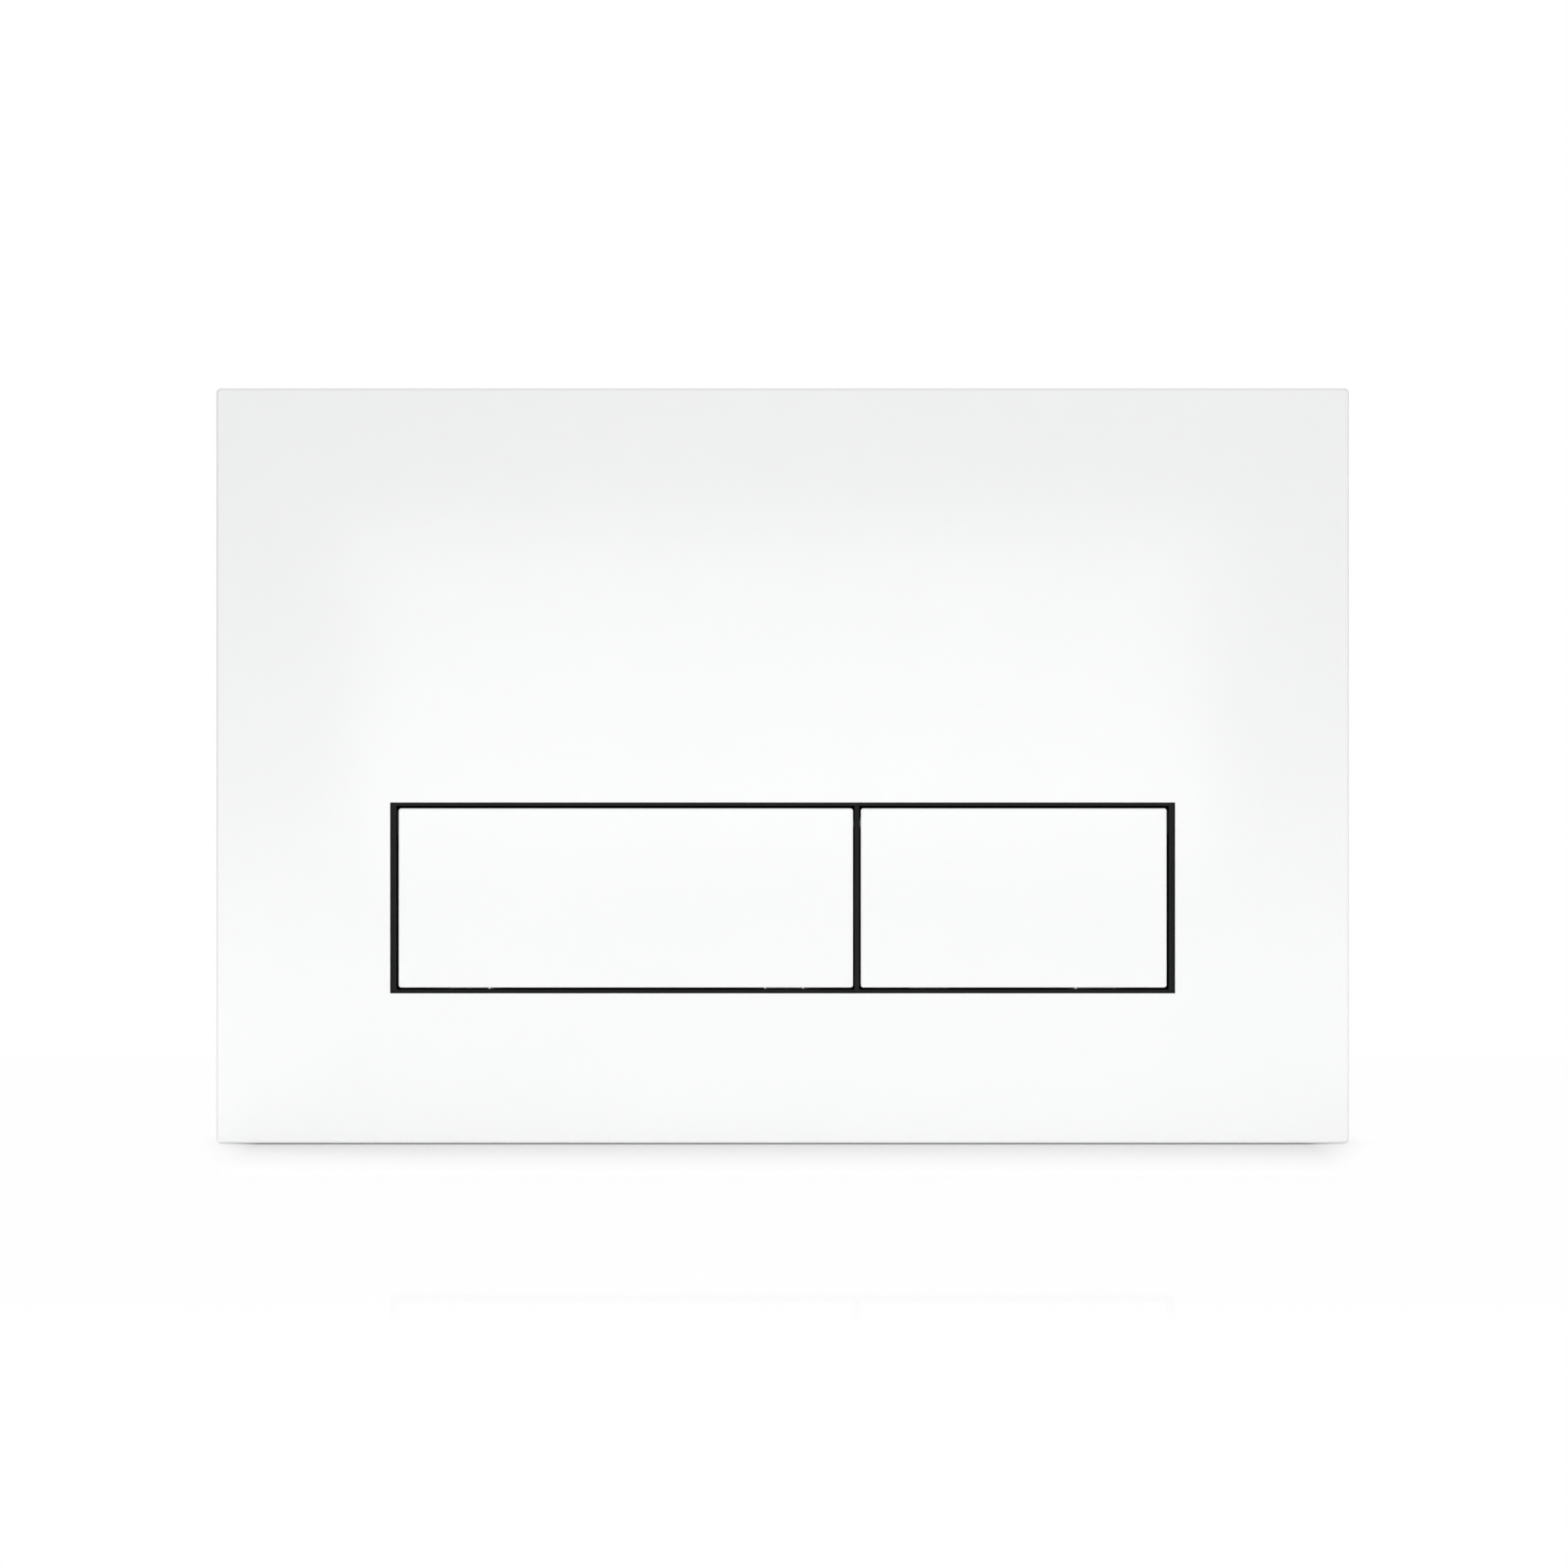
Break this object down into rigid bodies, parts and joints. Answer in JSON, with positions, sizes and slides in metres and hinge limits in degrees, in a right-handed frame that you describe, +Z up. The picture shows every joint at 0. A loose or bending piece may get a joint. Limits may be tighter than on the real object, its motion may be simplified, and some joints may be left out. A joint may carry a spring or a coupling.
{
  "type": "flush button plate",
  "caption": "Rectangular wall plate for an in-wall cistern: hinged flush buttons in a black frame, a mounting frame that the cover clips to, and push rods to the flush valve.",
  "frame": {"origin": "on the wall's face, behind the centre of the plate", "axes": "+X to the right seen from the front, +Y into the wall, +Z up; the front faces -Y"},
  "size_m": [0.246, 0.0818, 0.164],
  "materials": {
    "white_gloss": "high gloss moulded ABS",
    "black_satin": "satin moulded ABS",
    "steel": "drawn stainless rod",
    "spring_steel": "spring wire",
    "buffer_rubber": "soft elastomer",
    "frame_grey": "fine-textured moulded plastic",
    "bolt_white": "natural nylon",
    "rod_white": "natural acetal",
    "cap_black": "moulded acetal"
  },
  "bodies": {
    "plate": {"cover_plate": "white_gloss", "button_frame": "black_satin", "hinge_axle": "steel", "full_flush_spring": "spring_steel", "half_flush_spring": "spring_steel", "stop_buffers": "buffer_rubber", "mounting_frame": "frame_grey", "fixing_bolts": "bolt_white"},
    "full_button": {"full_flush_button": "white_gloss"},
    "half_button": {"half_flush_button": "white_gloss"},
    "full_rod": {"full_flush_push_rod": "rod_white", "full_flush_rod_cap": "cap_black", "full_flush_lock_nut": "cap_black"},
    "half_rod": {"half_flush_push_rod": "rod_white", "half_flush_rod_cap": "cap_black", "half_flush_lock_nut": "cap_black"}
  },
  "joints": [
    {"name": "full_flush_press", "type": "hinge", "parent": "plate", "child": "full_button", "pos_m": [0, -0.008, -0.01242], "axis": [1, 0, 0], "range_deg": [0, 12], "stiffness_Nm_per_rad": 0.6, "springref_deg": -5.73, "deforming": ["full_flush_spring"]},
    {"name": "half_flush_press", "type": "hinge", "parent": "plate", "child": "half_button", "pos_m": [0, -0.008, -0.01242], "axis": [1, 0, 0], "range_deg": [0, 12], "stiffness_Nm_per_rad": 0.6, "springref_deg": -5.73, "deforming": ["half_flush_spring"]},
    {"name": "full_rod_slide", "type": "slide", "parent": "plate", "child": "full_rod", "axis": [0, 1, 0], "range_m": [0, 0.00523]},
    {"name": "half_rod_slide", "type": "slide", "parent": "plate", "child": "half_rod", "axis": [0, 1, 0], "range_m": [0, 0.00523]}
  ],
  "couplings": [
    {"joint": "full_rod_slide", "follows": "full_flush_press", "m_per_rad": 0.024},
    {"joint": "half_rod_slide", "follows": "half_flush_press", "m_per_rad": 0.024}
  ]
}
